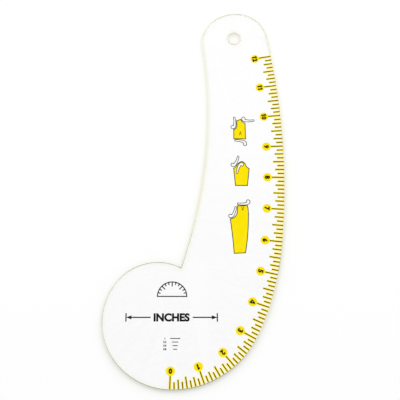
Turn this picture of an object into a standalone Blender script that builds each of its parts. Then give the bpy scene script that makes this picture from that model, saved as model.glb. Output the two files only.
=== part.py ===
"""Curve ruler: a clear acrylic sheet with a twelve inch scale along its outer edge, printed in two inks.

The outline is a closed run of arcs. It is drawn from the zero mark of the scale: forwards along the scale
edge and round the end of the arm, and backwards round the head to the notch. One last arc, the inner edge,
joins the end of the arm to the notch. Every mark of the scale is placed by its distance along the scale edge.
Sizes are in metres. The sheet lies flat with its underside at zero height, centred on its own box.
"""
import math

import bmesh
import bpy
from mathutils import Matrix, Vector

# Sheet
SHEET_THICKNESS = 0.0025
EDGE_BREAK = 0.0002
OUTLINE_STEP = 0.0032

# Scale edge, from the zero mark to the last mark
INCH = 0.0254
SCALE_INCHES = 12
SCALE_LENGTH = SCALE_INCHES * INCH
ZERO_HEADING = math.radians(-1.7)
EDGE_LENGTH_SHARES = (3 / 12, 1 / 12, 2 / 12, 6 / 12)
EDGE_TURNS = (math.radians(63.2), math.radians(9.7), math.radians(13.0), math.radians(15.7))

# End of the arm, past the last mark
ARM_RUN = 0.019
ARM_RUN_TURN = math.radians(2.0)
SHOULDER_RADIUS = 0.0232
SHOULDER_TURN = math.radians(49.5)
TIP_RADIUS = 0.0273
TIP_TURN = math.radians(77.5)

# Head, backwards from the zero mark to the notch
FOOT_RADIUS = 0.053
FOOT_TURN = math.radians(45.7)
SIDE_RADIUS = 0.0477
SIDE_TURN = math.radians(80.2)
CROWN_RADIUS = 0.0383
CROWN_TURN = math.radians(79.7)

# Hanging hole
HOLE_DIAMETER = 0.010
HOLE_FROM_TIP = 0.0216
HOLE_SIDES = 48

# Printed scale; the print starts a margin in from the broken edge
INK_THICKNESS = 0.0001
PRINT_MARGIN = 0.0001
PRINT_START = EDGE_BREAK + PRINT_MARGIN
STRIPE_WIDTH = 0.0018
HALF_INCH_LENGTH = 0.0084
DISC_DIAMETER = 0.0068
DISC_INSET = 0.0132
DISC_STEP = math.radians(12)

# Numerals
NUMERAL_HEIGHT = 0.0041
PAIR_NUMERAL_HEIGHT = 0.0039
PAIR_NUMERAL_GAP = 0.0004
GLYPH_BOLDNESS_SHARE = 0.065
GLYPH_CURVE_STEPS = 2
GLYPH_MERGE_SHARE = 0.0001

# Numerals that the built-in font has only as a bare bar, or can't make bold: each outline's corners as shares of
# the numeral's height from its middle
DRAWN_NUMERAL_SHARES = {
    "1": (
        ((-0.06, -0.50), (0.23, -0.50), (0.23, 0.50), (0.01, 0.50),
         (-0.07, 0.39), (-0.23, 0.33), (-0.23, 0.13), (-0.06, 0.19)),
    ),
    "4": (
        ((0.02, -0.50), (0.29, -0.50), (0.29, -0.32), (0.39, -0.32), (0.39, -0.09), (0.29, -0.09),
         (0.29, 0.50), (0.01, 0.50), (-0.39, -0.08), (-0.39, -0.32), (0.02, -0.32)),
        ((0.02, -0.09), (0.02, 0.17), (-0.16, -0.09)),
    ),
}

# Pattern drawings, upright on the arm, all to one scale that the height of the trousers sets
TROUSERS_HEIGHT = 0.0376
DRAWING_FROM_DISCS = 0.0164
DRAWING_INSET = DISC_INSET + DISC_DIAMETER / 2 + DRAWING_FROM_DISCS
PIECE_LINE = 0.0006
SMALL_RULER_LINE = 0.0005
BEND_STEPS = 8

# Width and height of each pattern piece as shares of the trousers' height, and the inch it stands beside
TROUSERS_SIZE_SHARES = (0.385, 1)
SLEEVE_SIZE_SHARES = (0.335, 0.53)
BODICE_SIZE_SHARES = (0.262, 0.455)
TROUSERS_AT_INCH = 6.27
SLEEVE_AT_INCH = 8.12
BODICE_AT_INCH = 9.635

# Corners of each pattern piece as shares of its width and height from its middle, and how far the side that
# follows bends out, as a share of its length
TROUSERS_CORNER_SHARES = (
    (-0.31, -0.50, 0), (0.31, -0.49, 0.02), (0.49, 0.24, 0.03), (0.45, 0.50, -0.02),
    (-0.11, 0.50, 0), (-0.12, 0.40, -0.22), (-0.50, 0.22, -0.01))
SLEEVE_CORNER_SHARES = (
    (-0.40, -0.50, 0), (0.37, -0.50, 0), (0.49, 0.20, -0.08), (0.29, 0.33, 0.14),
    (0.02, 0.50, 0.12), (-0.34, 0.29, -0.08), (-0.50, 0.22, 0))
BODICE_CORNER_SHARES = (
    (-0.49, -0.49, -0.02), (0.49, -0.50, 0), (0.47, 0.30, -0.16), (0.12, 0.50, -0.04),
    (-0.24, 0.43, 0), (-0.25, 0.12, -0.20), (-0.49, 0.00, 0))

# Small drawings of the ruler, laid against the curves of the pattern pieces
SMALL_RULER_LENGTH_SHARE = 0.27
SMALL_RULER_STEP = 0.0134
# Each as x and y of its middle from the piece's middle, in shares of the trousers' height, then its turn
TROUSERS_RULER_SHARES = {
    "waist": (0.090, 0.560, math.radians(90)),
    "crotch": (-0.1335, 0.359, math.radians(-18)),
}
SLEEVE_RULER_SHARES = {
    "cap": (-0.130, 0.265, math.radians(-20)),
}
SLEEVE_INNER_RULER_SHARES = (-0.033, 0.110, math.radians(164))
BODICE_RULER_SHARES = {
    "armhole": (-0.128, 0.137, math.radians(4)),
    "neck": (0.176, 0.214, math.radians(-88)),
    "hem": (0.020, -0.292, math.radians(81)),
}

# Colours: red, green, blue
ACRYLIC_COLOUR = (0.93, 0.97, 0.94)
YELLOW_INK_COLOUR = (0.95, 0.76, 0.01)
BLACK_INK_COLOUR = (0.015, 0.015, 0.016)
ACRYLIC_ROUGHNESS = 0.02
ACRYLIC_REFRACTION = 1.49
INK_ROUGHNESS = 0.45


def left_of(heading):
    """The unit vector square to a heading, on its left."""
    return Vector((-math.sin(heading), math.cos(heading)))


def along_arc(place, radius, turn, share=1):
    """The place a share of the way along an arc. A place is a point and a heading; a turn is to the left."""
    point, heading = place
    reach = math.copysign(radius, turn)
    new_heading = heading + turn * share
    return point + reach * (left_of(heading) - left_of(new_heading)), new_heading


def arc_points(place, radius, turn, step):
    """Points along an arc, after its first point and with its last."""
    count = max(1, math.ceil(radius * abs(turn) / step))
    return [along_arc(place, radius, turn, i / count)[0] for i in range(1, count + 1)]


def run_of_arcs(place, arcs, step):
    """Points along arcs that follow each other, and the place where they end."""
    points = []
    for radius, turn in arcs:
        points += arc_points(place, radius, turn, step)
        place = along_arc(place, radius, turn)
    return points, place


def scale_edge_arcs():
    """Radius and turn of each stretch of the scale edge."""
    return [(SCALE_LENGTH * share / turn, turn) for share, turn in zip(EDGE_LENGTH_SHARES, EDGE_TURNS)]


def zero_place():
    """The zero mark's point on the edge, and the edge's heading there."""
    return Vector((0, 0)), ZERO_HEADING


def scale_place(distance):
    """The point and heading on the scale edge at a distance from the zero mark."""
    place = zero_place()
    arcs = scale_edge_arcs()
    for radius, turn in arcs[:-1]:
        if distance < radius * turn:
            return along_arc(place, radius, turn, distance / (radius * turn))
        place = along_arc(place, radius, turn)
        distance -= radius * turn
    radius, turn = arcs[-1]
    return along_arc(place, radius, turn, distance / (radius * turn))


def arm_arcs():
    """Radius and turn of each stretch from the last mark round the end of the arm."""
    return [
        (ARM_RUN / ARM_RUN_TURN, ARM_RUN_TURN),
        (SHOULDER_RADIUS, SHOULDER_TURN),
        (TIP_RADIUS, TIP_TURN),
        (SHOULDER_RADIUS, SHOULDER_TURN),
    ]


def head_arcs():
    """Radius and turn of each stretch from the zero mark back round the head to the notch."""
    return [(FOOT_RADIUS, -FOOT_TURN), (SIDE_RADIUS, -SIDE_TURN), (CROWN_RADIUS, -CROWN_TURN)]


def inner_edge_points(place, notch, step):
    """Points of the one arc that leaves a place at its heading and ends in the notch, without the notch."""
    point, heading = place
    chord = notch - point
    sideways = chord.dot(left_of(heading))
    radius = chord.length_squared / (2 * abs(sideways))
    turn = math.copysign(2 * math.asin(chord.length / (2 * radius)), sideways)
    return arc_points(place, radius, turn, step)[:-1]


def ruler_outline(step):
    """The ruler's outline, anticlockwise from the notch, with the zero mark at the origin."""
    start, heading = zero_place()
    head, notch_place = run_of_arcs((start, heading + math.pi), head_arcs(), step)
    front, arm_end = run_of_arcs((start, heading), scale_edge_arcs() + arm_arcs(), step)
    inner = inner_edge_points(arm_end, notch_place[0], step)
    return head[::-1] + [start] + front + inner


def box_of(points):
    """The lowest and highest corners of a run of points."""
    low = Vector((min(p.x for p in points), min(p.y for p in points)))
    high = Vector((max(p.x for p in points), max(p.y for p in points)))
    return low, high


def hole_centre():
    """The hanging hole's centre, straight in from the middle of the tip."""
    place = scale_place(SCALE_LENGTH)
    for radius, turn in arm_arcs()[:2]:
        place = along_arc(place, radius, turn)
    point, heading = along_arc(place, TIP_RADIUS, TIP_TURN, 1 / 2)
    return point + HOLE_FROM_TIP * left_of(heading)


def circle_points(centre, radius, sides):
    """Points round a circle."""
    angles = [2 * math.pi * i / sides for i in range(sides)]
    return [centre + radius * Vector((math.cos(a), math.sin(a))) for a in angles]


def bent_outline(corners):
    """Points of a closed outline whose sides bend; a corner is a point and the bend of the side after it."""
    points = []
    for (a, bend), (b, _) in zip(corners, corners[1:] + corners[:1]):
        steps = BEND_STEPS if bend else 1
        side = b - a
        outward = Vector((side.y, -side.x)) * bend
        for i in range(steps):
            t = i / steps
            points.append(a + side * t + outward * 4 * t * (1 - t))
    return points


def inset_outline(points, distance):
    """An anticlockwise outline moved inwards by a distance."""
    inner = []
    for before, here, after in zip(points[-1:] + points[:-1], points, points[1:] + points[:1]):
        coming = (here - before).normalized()
        going = (after - here).normalized()
        normal_in = Vector((-coming.y, coming.x))
        normal_out = Vector((-going.y, going.x))
        middle = (normal_in + normal_out).normalized()
        inner.append(here + middle * distance / middle.dot(normal_in))
    return inner


def make_material(name, colour, roughness, transmission=0.0):
    """A plain material of one colour; transmission makes it clear."""
    material = bpy.data.materials.new(name)
    material.use_nodes = True
    shader = material.node_tree.nodes["Principled BSDF"]
    shader.inputs["Base Color"].default_value = (*colour, 1)
    shader.inputs["Metallic"].default_value = 0
    shader.inputs["Roughness"].default_value = roughness
    shader.inputs["Transmission Weight"].default_value = transmission
    shader.inputs["IOR"].default_value = ACRYLIC_REFRACTION
    material.diffuse_color = (*colour, 1)
    return material


def add_object(name, data, parts, origin, material):
    """Links an object for a piece's data into the collection, held by the origin, with its own material."""
    obj = bpy.data.objects.new(name, data)
    parts.objects.link(obj)
    obj.parent = origin
    if not data.materials:
        data.materials.append(None)
    obj.material_slots[0].link = "OBJECT"
    obj.material_slots[0].material = material
    return obj


def flat_curve(name, outlines, thickness):
    """A flat filled curve through closed outlines; an outline inside another is a hole."""
    curve = bpy.data.curves.new(name, "CURVE")
    curve.dimensions = "2D"
    curve.fill_mode = "BOTH"
    curve.extrude = thickness / 2
    for outline in outlines:
        spline = curve.splines.new("POLY")
        spline.points.add(len(outline) - 1)
        for spline_point, point in zip(spline.points, outline):
            spline_point.co = (point.x, point.y, 0, 1)
        spline.use_cyclic_u = True
    return curve


def sheet_curve():
    """The clear sheet, with a small break along every edge."""
    hole = circle_points(hole_centre(), HOLE_DIAMETER / 2, HOLE_SIDES)
    curve = flat_curve("acrylic_sheet", [ruler_outline(OUTLINE_STEP), hole], SHEET_THICKNESS - 2 * EDGE_BREAK)
    curve.bevel_depth = EDGE_BREAK
    curve.bevel_resolution = 0
    curve.offset = -EDGE_BREAK
    return curve


def flag_curve():
    """An inch flag: a disc on a stem that starts where the print starts, drawn inwards from the edge."""
    radius = DISC_DIAMETER / 2
    half = STRIPE_WIDTH / 2
    neck = math.asin(half / radius)
    count = math.ceil((2 * math.pi - 2 * neck) / DISC_STEP)
    outline = [Vector((-half, PRINT_START)), Vector((half, PRINT_START))]
    for i in range(count + 1):
        angle = neck + (2 * math.pi - 2 * neck) * i / count
        outline.append(Vector((math.sin(angle), -math.cos(angle))) * radius + Vector((0, DISC_INSET)))
    return flat_curve("inch_flag", [outline], INK_THICKNESS)


def stripe_curve(length):
    """A straight stripe that starts where the print starts."""
    half = STRIPE_WIDTH / 2
    end = PRINT_START + length
    corners = ((-half, PRINT_START), (half, PRINT_START), (half, end), (-half, end))
    return flat_curve("stripe", [[Vector(corner) for corner in corners]], INK_THICKNESS)


def glyph_mesh(character, height):
    """A bold numeral of the built-in font, centred, as tall as height and as thick as the ink; and its width."""
    text = bpy.data.curves.new("glyph", "FONT")
    text.body = character
    text.fill_mode = "BOTH"
    text.extrude = 1 / 2
    text.offset = GLYPH_BOLDNESS_SHARE
    text.resolution_u = GLYPH_CURVE_STEPS
    holder = bpy.data.objects.new("glyph", text)
    bpy.context.scene.collection.objects.link(holder)
    evaluated = holder.evaluated_get(bpy.context.evaluated_depsgraph_get())
    mesh = bpy.data.meshes.new_from_object(evaluated)
    bpy.data.objects.remove(holder)

    shape = bmesh.new()
    shape.from_mesh(mesh)
    bmesh.ops.remove_doubles(shape, verts=shape.verts, dist=GLYPH_MERGE_SHARE)
    low, high = box_of([v.co.xy for v in shape.verts])
    middle = (low + high) / 2
    scale = height / (high.y - low.y)
    bmesh.ops.translate(shape, verts=shape.verts, vec=(-middle.x, -middle.y, 0))
    bmesh.ops.scale(shape, verts=shape.verts, vec=(scale, scale, INK_THICKNESS))
    bmesh.ops.recalc_face_normals(shape, faces=shape.faces)
    shape.to_mesh(mesh)
    shape.free()
    mesh.name = f"numeral_{character}"
    return mesh, (high.x - low.x) * scale


def numeral_shape(character, height):
    """A numeral's shape and width."""
    if character not in DRAWN_NUMERAL_SHARES:
        return glyph_mesh(character, height)
    outlines = [[Vector(corner) * height for corner in corners] for corners in DRAWN_NUMERAL_SHARES[character]]
    low, high = box_of(outlines[0])
    return flat_curve(f"numeral_{character}", outlines, INK_THICKNESS), high.x - low.x


def ink_height(layer):
    """Height of the middle of an ink layer; layer 0 lies on the sheet and layer 1 lies on layer 0."""
    return SHEET_THICKNESS + INK_THICKNESS * (layer + 1 / 2)


def add_sheet(parts, origin):
    """The clear sheet."""
    material = make_material("acrylic_sheet", ACRYLIC_COLOUR, ACRYLIC_ROUGHNESS, transmission=1.0)
    sheet = add_object("acrylic_sheet", sheet_curve(), parts, origin, material)
    sheet.location.z = SHEET_THICKNESS / 2


def add_ink(name, data, layer, colour, place, parts, origin):
    """A piece of print at a place: its own x runs along the place's heading."""
    point, heading = place
    piece = add_object(name, data, parts, origin, make_material(name, colour, INK_ROUGHNESS))
    piece.location = (point.x, point.y, ink_height(layer))
    piece.rotation_euler.z = heading
    return piece


def add_scale(parts, origin):
    """A yellow flag at each inch and a yellow stripe at each half inch."""
    flag = flag_curve()
    for inch in range(SCALE_INCHES + 1):
        place = scale_place(inch * INCH)
        add_ink(f"inch_flag_{inch:02d}", flag, 0, YELLOW_INK_COLOUR, place, parts, origin)
    stripe = stripe_curve(HALF_INCH_LENGTH)
    for inch in range(SCALE_INCHES):
        place = scale_place((inch + 1 / 2) * INCH)
        add_ink(f"half_inch_stripe_{inch:02d}", stripe, 0, YELLOW_INK_COLOUR, place, parts, origin)


def add_numeral(inch, height, endings, parts, origin):
    """The black numeral of an inch, centred on its disc with its top towards the scale edge."""
    shapes = [numeral_shape(digit, height) for digit in str(inch)]
    point, heading = scale_place(inch * INCH)
    centre = point + DISC_INSET * left_of(heading)
    reading = heading + math.pi
    gaps = PAIR_NUMERAL_GAP * (len(shapes) - 1)
    along = -(sum(width for _, width in shapes) + gaps) / 2
    for (data, width), ending in zip(shapes, endings):
        shift = (along + width / 2) * Vector((math.cos(reading), math.sin(reading)))
        name = f"numeral_{inch:02d}{ending}"
        add_ink(name, data, 1, BLACK_INK_COLOUR, (centre + shift, reading), parts, origin)
        along += width + PAIR_NUMERAL_GAP


def add_numerals(parts, origin):
    """The numerals from zero to the last inch; those of two digits are smaller and made digit by digit."""
    for inch in range(SCALE_INCHES + 1):
        if inch < 10:
            add_numeral(inch, NUMERAL_HEIGHT, ("",), parts, origin)
        else:
            add_numeral(inch, PAIR_NUMERAL_HEIGHT, ("_tens", "_units"), parts, origin)


def drawing_centre(inch):
    """The middle of an upright drawing beside an inch of the scale."""
    point, heading = scale_place(inch * INCH)
    return point + DRAWING_INSET * left_of(heading)


def pattern_outline(size_shares, corner_shares):
    """A pattern piece's outline in real sizes, about its own middle."""
    width, height = (TROUSERS_HEIGHT * share for share in size_shares)
    return bent_outline([(Vector((x * width, y * height)), bend) for x, y, bend in corner_shares])


def small_ruler_outline(shares, mirrored=False):
    """The ruler's own outline drawn small, turned and moved from a drawing's middle."""
    x_share, y_share, turn = shares
    full_size = ruler_outline(SMALL_RULER_STEP)
    low, high = box_of(full_size)
    scale = SMALL_RULER_LENGTH_SHARE * TROUSERS_HEIGHT / (high.y - low.y)
    outline = [(point - (low + high) / 2) * scale for point in full_size]
    if mirrored:
        outline = [Vector((-point.x, point.y)) for point in reversed(outline)]
    middle = Vector((x_share, y_share)) * TROUSERS_HEIGHT
    return [middle + Matrix.Rotation(turn, 2) @ point for point in outline]


def add_line_round(name, outline, line, layer, inch, parts, origin):
    """A black line just inside an outline."""
    ring = flat_curve(name, [outline, inset_outline(outline, line)], INK_THICKNESS)
    add_ink(name, ring, layer, BLACK_INK_COLOUR, (drawing_centre(inch), 0), parts, origin)


def add_pattern_piece(name, outline, inch, parts, origin, windows=()):
    """A yellow pattern piece with a black line round it; a window is left bare in the yellow."""
    fill = flat_curve(f"{name}_fill", [outline, *windows], INK_THICKNESS)
    add_ink(f"{name}_fill", fill, 0, YELLOW_INK_COLOUR, (drawing_centre(inch), 0), parts, origin)
    add_line_round(f"{name}_outline", outline, PIECE_LINE, 1, inch, parts, origin)


def add_small_rulers(name, places, inch, mirrored_uses, parts, origin):
    """The small rulers on the bare sheet round a pattern piece, one for each use."""
    for use, shares in places.items():
        outline = small_ruler_outline(shares, use in mirrored_uses)
        add_line_round(f"{name}_ruler_{use}", outline, SMALL_RULER_LINE, 0, inch, parts, origin)


def add_drawings(parts, origin):
    """The three pattern pieces, each with the small rulers that draw its curves."""
    trousers = pattern_outline(TROUSERS_SIZE_SHARES, TROUSERS_CORNER_SHARES)
    add_pattern_piece("trousers", trousers, TROUSERS_AT_INCH, parts, origin)
    add_small_rulers("trousers", TROUSERS_RULER_SHARES, TROUSERS_AT_INCH, {"waist"}, parts, origin)

    sleeve = pattern_outline(SLEEVE_SIZE_SHARES, SLEEVE_CORNER_SHARES)
    inner = small_ruler_outline(SLEEVE_INNER_RULER_SHARES)
    window = inset_outline(inner, SMALL_RULER_LINE)
    add_pattern_piece("sleeve", sleeve, SLEEVE_AT_INCH, parts, origin, windows=[window])
    add_line_round("sleeve_ruler_inner", inner, SMALL_RULER_LINE, 1, SLEEVE_AT_INCH, parts, origin)
    add_small_rulers("sleeve", SLEEVE_RULER_SHARES, SLEEVE_AT_INCH, set(), parts, origin)

    bodice = pattern_outline(BODICE_SIZE_SHARES, BODICE_CORNER_SHARES)
    add_pattern_piece("bodice", bodice, BODICE_AT_INCH, parts, origin)
    add_small_rulers("bodice", BODICE_RULER_SHARES, BODICE_AT_INCH, set(), parts, origin)


def build():
    """Clears the scene and builds the ruler."""
    for obj in list(bpy.data.objects):
        bpy.data.objects.remove(obj)
    parts = bpy.data.collections.new("curve_ruler")
    bpy.context.scene.collection.children.link(parts)
    origin = bpy.data.objects.new("ruler_origin", None)
    parts.objects.link(origin)
    low, high = box_of(ruler_outline(OUTLINE_STEP))
    origin.location = (-(low.x + high.x) / 2, -(low.y + high.y) / 2, 0)
    add_sheet(parts, origin)
    add_scale(parts, origin)
    add_numerals(parts, origin)
    add_drawings(parts, origin)


build()
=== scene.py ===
"""Curve ruler: its looks. A clear acrylic sheet lies on a pale table, its scale printed in two inks.

The scale edge is the part's own run of arcs. Every mark is placed by its distance along that edge.
A mark is drawn flat first, then lifted to the thickness of its ink. Sizes are in metres.
"""
import math

import bmesh
import bpy
from mathutils import Matrix, Vector


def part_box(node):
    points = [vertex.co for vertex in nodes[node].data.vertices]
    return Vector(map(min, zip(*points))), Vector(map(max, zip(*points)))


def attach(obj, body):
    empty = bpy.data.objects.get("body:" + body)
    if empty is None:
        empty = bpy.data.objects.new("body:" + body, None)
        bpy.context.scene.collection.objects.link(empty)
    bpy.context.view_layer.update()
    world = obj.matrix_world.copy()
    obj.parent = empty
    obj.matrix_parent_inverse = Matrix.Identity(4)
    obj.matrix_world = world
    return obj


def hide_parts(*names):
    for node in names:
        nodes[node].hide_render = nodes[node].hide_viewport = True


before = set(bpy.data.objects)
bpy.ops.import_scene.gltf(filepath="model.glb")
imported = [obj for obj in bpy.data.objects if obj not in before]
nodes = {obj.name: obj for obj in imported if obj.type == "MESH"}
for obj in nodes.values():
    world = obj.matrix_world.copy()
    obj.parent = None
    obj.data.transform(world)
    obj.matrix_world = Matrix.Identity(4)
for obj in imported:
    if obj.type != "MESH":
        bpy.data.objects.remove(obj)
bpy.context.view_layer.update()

# Heights, from the part's own pieces
SHEET_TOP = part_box("acrylic_sheet")[1].z
YELLOW_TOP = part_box("inch_flag_00")[1].z
INK_THICKNESS = YELLOW_TOP - SHEET_TOP
FINE_INK_THICKNESS = INK_THICKNESS / 2

# How far the clear sheet's top lies under the print
SHEET_DROP = 0.00001

# Rim of the top face, a band that carries painted shade along the edge, and the hanging hole as on the
# part
RIM_WIDTH = 0.0014
HOLE_CENTRE = Vector((0.0308, 0.1275))
HOLE_DIAMETER = 0.010

# Scale edge, from the zero mark to the last mark, as on the part
INCH = 0.0254
SCALE_INCHES = 12
SCALE_LENGTH = SCALE_INCHES * INCH
ZERO_MARK = Vector((-0.018278, -0.149100))
ZERO_HEADING = math.radians(-1.7)
EDGE_LENGTH_SHARES = (3 / 12, 1 / 12, 2 / 12, 6 / 12)
EDGE_TURNS = (math.radians(63.2), math.radians(9.7), math.radians(13.0), math.radians(15.7))

# Steps along the scale, counted in eighths of an inch
EIGHTH_STEP = 1
QUARTER_STEP = 2
HALF_STEP = 4
INCH_STEP = 8
SCALE_STEPS = SCALE_INCHES * INCH_STEP

# Marks of the scale
PRINT_START = 0.0003
STRIPE_WIDTH = 0.0018
HALF_INCH_LENGTH = 0.0084
QUARTER_INCH_LENGTH = 0.0069
EIGHTH_INCH_LENGTH = 0.0052
DISC_DIAMETER = 0.0068
DISC_INSET = 0.0132
HAIRLINE_WIDTH = 0.00065
HAIRLINE_INSET = 0.0001

# Lettering
LETTER_BOLDNESS_SHARE = 0.05
LETTER_CURVE_STEPS = 4

# The unit's name on the head, and the dimension line that it stands in
WORD = "INCHES"
WORD_CENTRE = Vector((-0.0173, -0.0970))
WORD_HEIGHT = 0.0062
SPAN_LENGTH = 0.0669
SPAN_LINE = 0.0009
SPAN_GAP = 0.0022
ARROW_LENGTH = 0.0040
ARROW_WIDTH = 0.0030

# Protractor on the head
PROTRACTOR_CENTRE = Vector((-0.0171, -0.0815))
PROTRACTOR_RADIUS = 0.0108
PROTRACTOR_LINE = 0.0008
PROTRACTOR_CURVE_STEPS = 36
PROTRACTOR_PARTS = 12
PROTRACTOR_PARTS_PER_LONG_TICK = 3
PROTRACTOR_TICK = 0.0020
PROTRACTOR_LONG_TICK = 0.0034

# Key on the head: its rows, the places of text and line in a row, and each mark with its length
KEY_TOP = Vector((-0.0176, -0.1124))
KEY_ROW = 0.0026
KEY_TEXT_HEIGHT = 0.0016
KEY_TEXT_PLACE = Vector((-0.0045, 0))
KEY_LINE_WIDTH = 0.0006
KEY_LINE_PLACE = Vector((0.0030, 0))
KEY_LENGTH_SHARE = 0.55
KEY_ROWS = (
    ("1", DISC_INSET), ("1/2", HALF_INCH_LENGTH),
    ("1/4", QUARTER_INCH_LENGTH), ("1/8", EIGHTH_INCH_LENGTH))

# Darts of the pattern pieces: each one's tip, and the heading from there to its open end
DARTS = ((Vector((0.0348, 0.0478)), -math.pi / 2), (Vector((0.0358, -0.0158)), math.pi / 2))
DART_LENGTH = 0.0030
DART_WIDTH = 0.0016
DART_LINE = 0.0004

# An equal-sided triangle in a circle of radius one
TRIANGLE_HEIGHT = 1.5
TRIANGLE_SIDE = math.sqrt(3)

# Cleaning of meshes: points nearer than this become one, and faces flatter than this are joined
WELD_DISTANCE = 0.000001
FLAT_ANGLE = math.radians(0.5)

# A face is level where its unit normal rises or falls by more than this
LEVEL_NORMAL = 0.99

# Inks: their full and thin colours, the noise at which they start to thin and are thinnest, and a grain
YELLOW = (0.98, 0.77, 0.0)
THIN_YELLOW = (0.98, 0.81, 0.02)
BLACK = (0.008, 0.008, 0.008)
THIN_BLACK = (0.018, 0.017, 0.016)
INK_ROUGHNESS = 0.5
INK_SHINE = 0.05
PATCH_SCALE = 260
PATCH_DETAIL = 3
PATCH_START = 0.5
PATCH_FULL = 0.75
GRAIN_SCALE = 4000
GRAIN_DETAIL = 2
GRAIN_STRENGTH = 0.15

# Acrylic: its bending of light, its gentle swell, and how polished and how clear its surfaces are
ACRYLIC_IOR = 1.49
SWELL_SCALE = 30
SWELL_DETAIL = 1
SWELL_STRENGTH = 0.1
BUMP_HEIGHT = 0.00002
POLISHED_ROUGHNESS = 0.01
CUT_ROUGHNESS = 0.25
FULLY_CLEAR = 1
EDGE_CLEARNESS = 0.8
HOLE_CLEARNESS = 0.9

# Colours of the acrylic, partly its own faint tint and partly painted light and shade, then shades of
# the light that comes in, and of the light within that goes out.
# A run of stops changes up the ruler: each stop is a distance up from the middle, and the colour there
# The top face's faint grey tint, with painted light: lighter up the arm than round the head
FACE_TINT_AND_PAINTED_LIGHT = ((-0.100, (0.956, 0.961, 0.956)), (0.050, (0.982, 0.987, 0.982)))
FACE_SHADE = (0.995, 0.995, 0.995)
# Painted shade: a darker, beige band round the top face's edge, strongest low on the arm
RIM_PAINTED_SHADE = (
    (-0.128, (0.935, 0.93, 0.78)), (-0.050, (0.93, 0.925, 0.80)), (0.000, (0.89, 0.88, 0.66)),
    (0.070, (0.905, 0.90, 0.79)), (0.140, (0.915, 0.91, 0.80)))
RIM_SHADE = (0.99, 0.99, 0.99)
# The cut edge's own warm tint, with painted shade: near black at the foot and at the notch, lighter up
# the arm
EDGE_TINT_AND_PAINTED_SHADE = (
    (-0.128, (0.03, 0.03, 0.02)), (-0.105, (0.63, 0.62, 0.46)), (-0.072, (0.57, 0.56, 0.42)),
    (-0.058, (0.06, 0.058, 0.036)), (-0.020, (0.91, 0.89, 0.54)), (0.070, (0.95, 0.94, 0.70)))
EDGE_SHADES = (
    (-0.128, (0.36, 0.37, 0.22)), (-0.105, (0.42, 0.42, 0.22)),
    (-0.020, (0.54, 0.53, 0.15)), (0.070, (0.66, 0.66, 0.38)))
HOLE_COLOUR = (0.95, 0.93, 0.86)
HOLE_SHADE = (0.72, 0.66, 0.48)
CUT_SHADE_WITHIN = (0.95, 0.95, 0.93)

# The sheet's material slots, in their order
FACE, RIM, EDGE, HOLE = range(4)

# Rays that show a surface to the eye, and rays that carry light
SEEING_RAYS = ("Is Camera Ray", "Is Glossy Ray", "Is Transmission Ray")
LIGHTING_RAYS = ("Is Shadow Ray", "Is Diffuse Ray")

# Camera, above the near side of the ruler, with its lens and sensor in millimetres
LENS = 81
SENSOR = 36
CLIP_START = 0.01
CAMERA_TILT = math.radians(16.05)
CAMERA_DISTANCE = 0.684
LOOK_AT = Vector((0.00346, -0.00755, YELLOW_TOP))

# Table, room and lamps, with the power of a lamp in watts
WHITE = (1, 1, 1)
TABLE_SIZE = 12
TABLE_WHITE_SHARE = 0.2
ROOM_LIGHT = 0.56
LAMP_SIZE = 3.2
LAMP_PLACES = (Vector((2.4, 2.7, 2.6)), Vector((-2.4, 2.7, 2.6)))
LAMP_POWER = 88


def left_of(heading):
    """The unit vector square to a heading, on its left."""
    return Vector((-math.sin(heading), math.cos(heading)))


def ahead_of(heading):
    """The unit vector along a heading."""
    return Vector((math.cos(heading), math.sin(heading)))


def along_arc(place, radius, turn, share):
    """The place a share of the way along an arc that turns left. A place is a point and a heading."""
    point, heading = place
    new_heading = heading + turn * share
    return point + radius * (left_of(heading) - left_of(new_heading)), new_heading


def scale_place(distance):
    """The point and heading on the scale edge at a distance from the zero mark."""
    place = ZERO_MARK, ZERO_HEADING
    for share, turn in zip(EDGE_LENGTH_SHARES, EDGE_TURNS):
        length = SCALE_LENGTH * share
        if distance < length:
            return along_arc(place, length / turn, turn, distance / length)
        place = along_arc(place, length / turn, turn, 1)
        distance -= length
    return place


def laid(centre, heading):
    """The matrix that lays a flat shape down at a centre, with its own x along a heading."""
    return Matrix.Translation(centre.to_3d()) @ Matrix.Rotation(heading, 4, "Z")


def draw_bar(shape, centre, heading, length, width):
    """A flat bar, its length along the heading."""
    size = Matrix.Diagonal((length / 2, width / 2, 1, 1))
    place = laid(centre, heading) @ size
    bmesh.ops.create_grid(shape, x_segments=1, y_segments=1, size=1, matrix=place)


def draw_mark(shape, step, start, length, width):
    """A bar square to the scale edge, at a step of the scale. Its start is measured in from the edge."""
    point, heading = scale_place(step * INCH / INCH_STEP)
    middle = point + left_of(heading) * (start + length / 2)
    draw_bar(shape, middle, heading + math.pi / 2, length, width)


def draw_arc(shape, centre, radius, width, start, sweep, steps):
    """A flat band along an arc, by turning a short edge about the centre."""
    reaches = (radius - width / 2, radius + width / 2)
    ends = [shape.verts.new((centre + reach * ahead_of(start)).to_3d()) for reach in reaches]
    edge = shape.edges.new(ends)
    bmesh.ops.spin(
        shape, geom=ends + [edge], cent=centre.to_3d(), axis=(0, 0, 1), angle=sweep, steps=steps)


def draw_arrow_head(shape, tip, heading, length, width):
    """A flat arrow head that points along the heading."""
    size = Matrix.Diagonal((length / TRIANGLE_HEIGHT, width / TRIANGLE_SIDE, 1, 1))
    centre = tip - ahead_of(heading) * length / TRIANGLE_HEIGHT
    place = laid(centre, heading) @ size @ Matrix.Rotation(-math.pi / 2, 4, "Z")
    bmesh.ops.create_circle(shape, segments=3, radius=1, cap_ends=True, matrix=place)


def extent(mesh, axis):
    """The lowest and the highest coordinate of a mesh along an axis."""
    coordinates = [vert.co[axis] for vert in mesh.vertices]
    return min(coordinates), max(coordinates)


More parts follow.
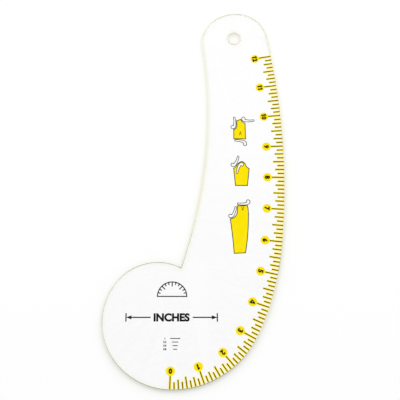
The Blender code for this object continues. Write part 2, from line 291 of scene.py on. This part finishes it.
def draw_text(shape, body, centre, height):
    """Flat bold lettering of the built-in face, centred, as tall as height. Returns its width."""
    text = bpy.data.curves.new("lettering", "FONT")
    text.body = body
    text.offset = LETTER_BOLDNESS_SHARE
    text.resolution_u = LETTER_CURVE_STEPS
    holder = bpy.data.objects.new("lettering", text)
    bpy.context.scene.collection.objects.link(holder)
    written = holder.evaluated_get(bpy.context.evaluated_depsgraph_get())
    mesh = bpy.data.meshes.new_from_object(written)
    bpy.data.objects.remove(holder)
    left, right = extent(mesh, 0)
    low, high = extent(mesh, 1)
    scale = height / (high - low)
    middle = Matrix.Translation((-(left + right) / 2, -(low + high) / 2, 0))
    mesh.transform(laid(centre, 0) @ Matrix.Scale(scale, 4) @ middle)
    shape.from_mesh(mesh)
    bpy.data.meshes.remove(mesh)
    return (right - left) * scale


def new_object(name, shape, materials):
    """Makes a shape an object of the scene, at the origin."""
    mesh = bpy.data.meshes.new(name)
    shape.to_mesh(mesh)
    shape.free()
    for material in materials:
        mesh.materials.append(material)
    made = bpy.data.objects.new(name, mesh)
    bpy.context.scene.collection.objects.link(made)
    return made


def leave_unshadowed(print_piece):
    """The thin print lets the room's light reach the table, which shows no shadow of it."""
    print_piece.visible_shadow = False
    print_piece.visible_diffuse = False


def lift_ink(shape, name, bottom, thickness, material):
    """Gives flat marks the thickness of their ink and makes them a piece that rides on the ruler."""
    bmesh.ops.remove_doubles(shape, verts=shape.verts, dist=WELD_DISTANCE)
    bmesh.ops.recalc_face_normals(shape, faces=shape.faces)
    upturned = [face for face in shape.faces if face.normal.z > 0]
    bmesh.ops.reverse_faces(shape, faces=upturned)
    bmesh.ops.translate(shape, verts=shape.verts, vec=(0, 0, bottom))
    grown = bmesh.ops.extrude_face_region(shape, geom=shape.faces[:], use_keep_orig=True)
    raised = [item for item in grown["geom"] if isinstance(item, bmesh.types.BMVert)]
    bmesh.ops.translate(shape, verts=raised, vec=(0, 0, thickness))
    bmesh.ops.recalc_face_normals(shape, faces=shape.faces)
    piece = new_object(name, shape, [material])
    leave_unshadowed(piece)
    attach(piece, "root")


def new_material(name, roughness, colour=WHITE):
    """A new material, with its node tree and its shader."""
    material = bpy.data.materials.new(name)
    material.use_nodes = True
    shader = material.node_tree.nodes["Principled BSDF"]
    shader.inputs["Base Color"].default_value = (*colour, 1)
    shader.inputs["Roughness"].default_value = roughness
    return material, material.node_tree, shader


def new_noise(tree, place, scale, detail):
    """Noise that is fixed to the object."""
    noise = tree.nodes.new("ShaderNodeTexNoise")
    noise.inputs["Scale"].default_value = scale
    noise.inputs["Detail"].default_value = detail
    tree.links.new(place.outputs["Object"], noise.inputs["Vector"])
    return noise.outputs["Fac"]


def bump_surface(tree, shader, height, strength):
    """Bumps a shader's surface by a height from another node."""
    bump = tree.nodes.new("ShaderNodeBump")
    bump.inputs["Strength"].default_value = strength
    bump.inputs["Distance"].default_value = BUMP_HEIGHT
    tree.links.new(height, bump.inputs["Height"])
    tree.links.new(bump.outputs["Normal"], shader.inputs["Normal"])


def share_between(tree, value, low, high):
    """How far a value from another node lies on the way from low to high."""
    share = tree.nodes.new("ShaderNodeMapRange")
    share.inputs["From Min"].default_value = low
    share.inputs["From Max"].default_value = high
    tree.links.new(value, share.inputs["Value"])
    return share.outputs["Result"]


def mix_colours(tree, factor, first, second):
    """A mix of two colours by a factor from another node."""
    mix = tree.nodes.new("ShaderNodeMix")
    mix.data_type = "RGBA"
    mix.inputs["A"].default_value = (*first, 1)
    mix.inputs["B"].default_value = (*second, 1)
    tree.links.new(factor, mix.inputs["Factor"])
    return mix


def mix_shaders(tree, factor, first, second, output):
    """Sends a mix of two shaders, by a factor from another node, to a material's or world's output."""
    mix = tree.nodes.new("ShaderNodeMixShader")
    tree.links.new(factor, mix.inputs["Fac"])
    tree.links.new(first, mix.inputs[1])
    tree.links.new(second, mix.inputs[2])
    tree.links.new(mix.outputs["Shader"], tree.nodes[output].inputs["Surface"])


def is_any_ray(tree, kinds):
    """One for a ray of any of the kinds, and zero for all others."""
    path = tree.nodes.new("ShaderNodeLightPath")
    result = path.outputs[kinds[0]]
    for kind in kinds[1:]:
        larger = tree.nodes.new("ShaderNodeMath")
        larger.operation = "MAXIMUM"
        tree.links.new(result, larger.inputs[0])
        tree.links.new(path.outputs[kind], larger.inputs[1])
        result = larger.outputs["Value"]
    return result


def set_colour(tree, place, socket, colours):
    """Gives a socket one colour, or a run of stops. Its own value is then the first stop's colour."""
    if not isinstance(colours[0], tuple):
        socket.default_value = (*colours, 1)
        return
    lowest, highest = colours[0][0], colours[-1][0]
    socket.default_value = (*colours[0][1], 1)
    along = tree.nodes.new("ShaderNodeSeparateXYZ")
    tree.links.new(place.outputs["Object"], along.inputs["Vector"])
    ramp = tree.nodes.new("ShaderNodeValToRGB")
    share = share_between(tree, along.outputs["Y"], lowest, highest)
    tree.links.new(share, ramp.inputs["Fac"])
    elements = ramp.color_ramp.elements
    for distance, _ in colours[1:-1]:
        elements.new((distance - lowest) / (highest - lowest))
    for element, (_, colour) in zip(elements, colours):
        element.color = (*colour, 1)
    tree.links.new(ramp.outputs["Color"], socket)


def ink_material(name, colour, thin_colour):
    """Screen-printed ink: a fine grain, and patches where the ink lies a little thinner."""
    material, tree, shader = new_material(name, INK_ROUGHNESS, colour)
    shader.inputs["Specular IOR Level"].default_value = INK_SHINE
    place = tree.nodes.new("ShaderNodeTexCoord")
    patches = new_noise(tree, place, PATCH_SCALE, PATCH_DETAIL)
    thin = share_between(tree, patches, PATCH_START, PATCH_FULL)
    mix = mix_colours(tree, thin, colour, thin_colour)
    tree.links.new(mix.outputs["Result"], shader.inputs["Base Color"])
    grain = new_noise(tree, place, GRAIN_SCALE, GRAIN_DETAIL)
    bump_surface(tree, shader, grain, GRAIN_STRENGTH)
    return material


def clear_material(name, colours, roughness, clearness, shades, shade_within):
    """Clear acrylic that lets the lamps' light through, dimmed as it comes in and as it goes out.

    Its colours, and the shades of the light that comes in, are one colour each or a run of stops.
    """
    material, tree, shader = new_material(name, roughness)
    shader.inputs["Transmission Weight"].default_value = clearness
    shader.inputs["IOR"].default_value = ACRYLIC_IOR
    place = tree.nodes.new("ShaderNodeTexCoord")
    set_colour(tree, place, shader.inputs["Base Color"], colours)
    swell = new_noise(tree, place, SWELL_SCALE, SWELL_DETAIL)
    bump_surface(tree, shader, swell, SWELL_STRENGTH)
    facing = tree.nodes.new("ShaderNodeNewGeometry")
    dimmed = mix_colours(tree, facing.outputs["Backfacing"], WHITE, shade_within)
    set_colour(tree, place, dimmed.inputs["A"], shades)
    through = tree.nodes.new("ShaderNodeBsdfTransparent")
    tree.links.new(dimmed.outputs["Result"], through.inputs["Color"])
    light = is_any_ray(tree, LIGHTING_RAYS)
    mix_shaders(tree, light, shader.outputs["BSDF"], through.outputs["BSDF"], "Material Output")
    return material


yellow_ink = ink_material("yellow_ink", YELLOW, THIN_YELLOW)
black_ink = ink_material("black_ink", BLACK, THIN_BLACK)
acrylic_face = clear_material(
    "acrylic_face", FACE_TINT_AND_PAINTED_LIGHT, POLISHED_ROUGHNESS, FULLY_CLEAR, FACE_SHADE, FACE_SHADE)
acrylic_rim = clear_material(
    "acrylic_rim", RIM_PAINTED_SHADE, POLISHED_ROUGHNESS, FULLY_CLEAR, RIM_SHADE, RIM_SHADE)
acrylic_edge = clear_material(
    "acrylic_edge", EDGE_TINT_AND_PAINTED_SHADE, CUT_ROUGHNESS, EDGE_CLEARNESS, EDGE_SHADES, CUT_SHADE_WITHIN)
acrylic_hole = clear_material(
    "acrylic_hole", HOLE_COLOUR, CUT_ROUGHNESS, HOLE_CLEARNESS, HOLE_SHADE, CUT_SHADE_WITHIN)


def is_of_hole(face):
    """Whether a face of the sheet belongs to the hanging hole."""
    return (face.calc_center_median().xy - HOLE_CENTRE).length < HOLE_DIAMETER


def make_sheet():
    """The clear sheet, its top a hair under the print: polished faces, a rim of painted edge shade, a
    cut edge and a hole.
    """
    shape = bmesh.new()
    shape.from_mesh(nodes["acrylic_sheet"].data)
    bmesh.ops.remove_doubles(shape, verts=shape.verts, dist=WELD_DISTANCE)
    bmesh.ops.dissolve_limit(shape, angle_limit=FLAT_ANGLE, verts=shape.verts, edges=shape.edges)
    for face in shape.faces:
        level = abs(face.normal.z) > LEVEL_NORMAL
        if not level:
            face.material_index = HOLE if is_of_hole(face) else EDGE
        face.smooth = not level
    upper = [face for face in shape.faces if face.normal.z > LEVEL_NORMAL]
    # A band round the top face, where shade along the edge is painted
    rim = bmesh.ops.inset_region(
        shape, faces=upper, thickness=RIM_WIDTH, use_boundary=True, use_even_offset=True)
    for face in rim["faces"]:
        face.material_index = RIM
    top = [vert for vert in shape.verts if vert.co.z > SHEET_TOP - SHEET_DROP]
    bmesh.ops.translate(shape, verts=top, vec=(0, 0, -SHEET_DROP))
    wide = [face for face in shape.faces if face.material_index == FACE]
    bmesh.ops.triangulate(shape, faces=wide)
    piece = new_object("clear_sheet", shape, (acrylic_face, acrylic_rim, acrylic_edge, acrylic_hole))
    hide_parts("acrylic_sheet")
    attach(piece, "root")


def ink_the_nodes():
    """Gives every printed piece of the part its ink."""
    for name, node in nodes.items():
        if name == "acrylic_sheet":
            continue
        yellow = name.startswith(("inch_flag", "half_inch")) or name.endswith("_fill")
        node.data.materials.clear()
        node.data.materials.append(yellow_ink if yellow else black_ink)
        leave_unshadowed(node)


def draw_stripes(name, steps, length):
    """Yellow stripes at the given steps of the scale."""
    shape = bmesh.new()
    for step in steps:
        draw_mark(shape, step, PRINT_START, length, STRIPE_WIDTH)
    lift_ink(shape, name, SHEET_TOP, INK_THICKNESS, yellow_ink)


def draw_hairlines():
    """The black line down the middle of every mark."""
    shape = bmesh.new()
    for step in range(SCALE_STEPS + 1):
        if step % INCH_STEP == 0:
            length = DISC_INSET - DISC_DIAMETER / 2 - PRINT_START
        elif step % HALF_STEP == 0:
            length = HALF_INCH_LENGTH
        elif step % QUARTER_STEP == 0:
            length = QUARTER_INCH_LENGTH
        else:
            length = EIGHTH_INCH_LENGTH
        length -= 2 * HAIRLINE_INSET
        draw_mark(shape, step, PRINT_START + HAIRLINE_INSET, length, HAIRLINE_WIDTH)
    lift_ink(shape, "hairlines", YELLOW_TOP, FINE_INK_THICKNESS, black_ink)


def draw_span_word():
    """The unit's name in the middle of a dimension line with an arrow head at each end."""
    shape = bmesh.new()
    width = draw_text(shape, WORD, WORD_CENTRE, WORD_HEIGHT)
    near = width / 2 + SPAN_GAP
    far = SPAN_LENGTH / 2 - ARROW_LENGTH
    for heading in (0, math.pi):
        ahead = ahead_of(heading)
        tip = WORD_CENTRE + ahead * SPAN_LENGTH / 2
        draw_bar(shape, WORD_CENTRE + ahead * (near + far) / 2, heading, far - near, SPAN_LINE)
        draw_arrow_head(shape, tip, heading, ARROW_LENGTH, ARROW_WIDTH)
        draw_bar(shape, tip, heading + math.pi / 2, WORD_HEIGHT, SPAN_LINE)
    lift_ink(shape, "span_word", SHEET_TOP, FINE_INK_THICKNESS, black_ink)


def draw_protractor():
    """A half round protractor with a tick at every fifteen degrees."""
    shape = bmesh.new()
    centre = PROTRACTOR_CENTRE
    line = PROTRACTOR_LINE
    draw_arc(shape, centre, PROTRACTOR_RADIUS, line, 0, math.pi, PROTRACTOR_CURVE_STEPS)
    draw_bar(shape, centre, 0, 2 * PROTRACTOR_RADIUS + line, line)
    for part in range(1, PROTRACTOR_PARTS):
        angle = part * math.pi / PROTRACTOR_PARTS
        long = part % PROTRACTOR_PARTS_PER_LONG_TICK == 0
        length = PROTRACTOR_LONG_TICK if long else PROTRACTOR_TICK
        middle = centre + ahead_of(angle) * (PROTRACTOR_RADIUS - length / 2)
        draw_bar(shape, middle, angle, length, line)
    lift_ink(shape, "protractor", SHEET_TOP, FINE_INK_THICKNESS, black_ink)


def draw_key():
    """A small key: the name of each mark, beside a line as long as a share of the mark."""
    shape = bmesh.new()
    for row, (name, length) in enumerate(KEY_ROWS):
        middle = KEY_TOP - Vector((0, KEY_ROW * row))
        draw_text(shape, name, middle + KEY_TEXT_PLACE, KEY_TEXT_HEIGHT)
        draw_bar(shape, middle + KEY_LINE_PLACE, 0, length * KEY_LENGTH_SHARE, KEY_LINE_WIDTH)
    lift_ink(shape, "key", SHEET_TOP, FINE_INK_THICKNESS, black_ink)


def draw_darts():
    """The darts, each two fine lines that meet in its tip, on the yellow of the pattern pieces."""
    shape = bmesh.new()
    for tip, heading in DARTS:
        for side in (-1, 1):
            leg = ahead_of(heading) * DART_LENGTH + left_of(heading) * side * DART_WIDTH / 2
            draw_bar(shape, tip + leg / 2, math.atan2(leg.y, leg.x), leg.length, DART_LINE)
    lift_ink(shape, "darts", YELLOW_TOP, FINE_INK_THICKNESS, black_ink)


def make_table():
    """The pale table: partly white by itself where it is seen, and still shaded by the ruler."""
    material, tree, shader = new_material("table", 1)
    shader.inputs["Specular IOR Level"].default_value = 0
    share = tree.nodes.new("ShaderNodeMath")
    share.operation = "MULTIPLY"
    share.inputs[1].default_value = TABLE_WHITE_SHARE
    tree.links.new(is_any_ray(tree, SEEING_RAYS), share.inputs[0])
    white = tree.nodes.new("ShaderNodeEmission")
    white.inputs["Strength"].default_value = 1
    mix_shaders(
        tree, share.outputs["Value"], shader.outputs["BSDF"], white.outputs["Emission"],
        "Material Output")
    shape = bmesh.new()
    bmesh.ops.create_grid(shape, x_segments=1, y_segments=1, size=TABLE_SIZE / 2)
    table = new_object("table", shape, [material])


def make_room():
    """A white room: full white to the eye, softer as light."""
    world = bpy.data.worlds.new("white_room")
    bpy.context.scene.world = world
    world.use_nodes = True
    tree = world.node_tree
    light = tree.nodes["Background"]
    light.inputs["Color"].default_value = (*WHITE, 1)
    light.inputs["Strength"].default_value = ROOM_LIGHT
    white = tree.nodes.new("ShaderNodeBackground")
    white.inputs["Color"].default_value = (*WHITE, 1)
    mix_shaders(
        tree, is_any_ray(tree, SEEING_RAYS), light.outputs["Background"],
        white.outputs["Background"], "World Output")


def make_lamps():
    """Two large soft lamps beyond the far side, one on each hand, that don't glare in the sheet.

    The ruler's shadow falls around its near side.
    """
    for place in LAMP_PLACES:
        data = bpy.data.lights.new("soft_lamp", "AREA")
        data.size = LAMP_SIZE
        data.energy = LAMP_POWER
        lamp = bpy.data.objects.new("soft_lamp", data)
        lamp.location = place
        lamp.rotation_euler = (-place).to_track_quat("-Z", "Y").to_euler()
        lamp.visible_glossy = False
        bpy.context.scene.collection.objects.link(lamp)


def make_camera():
    """The photograph's view: nearly straight down, from a little towards the near side."""
    data = bpy.data.cameras.new("camera")
    data.lens = LENS
    data.sensor_width = SENSOR
    data.clip_start = CLIP_START
    camera = bpy.data.objects.new("camera", data)
    back = Vector((0, -math.sin(CAMERA_TILT), math.cos(CAMERA_TILT)))
    camera.location = LOOK_AT + CAMERA_DISTANCE * back
    camera.rotation_euler = (CAMERA_TILT, 0, 0)
    bpy.context.scene.collection.objects.link(camera)
    bpy.context.scene.camera = camera


make_camera()
make_table()
make_room()
make_lamps()
make_sheet()
ink_the_nodes()
draw_stripes(
    "quarter_inch_stripes", range(QUARTER_STEP, SCALE_STEPS, HALF_STEP), QUARTER_INCH_LENGTH)
draw_stripes(
    "eighth_inch_stripes", range(EIGHTH_STEP, SCALE_STEPS, QUARTER_STEP), EIGHTH_INCH_LENGTH)
draw_hairlines()
draw_span_word()
draw_protractor()
draw_key()
draw_darts()
bpy.context.scene.view_settings.view_transform = "Standard"
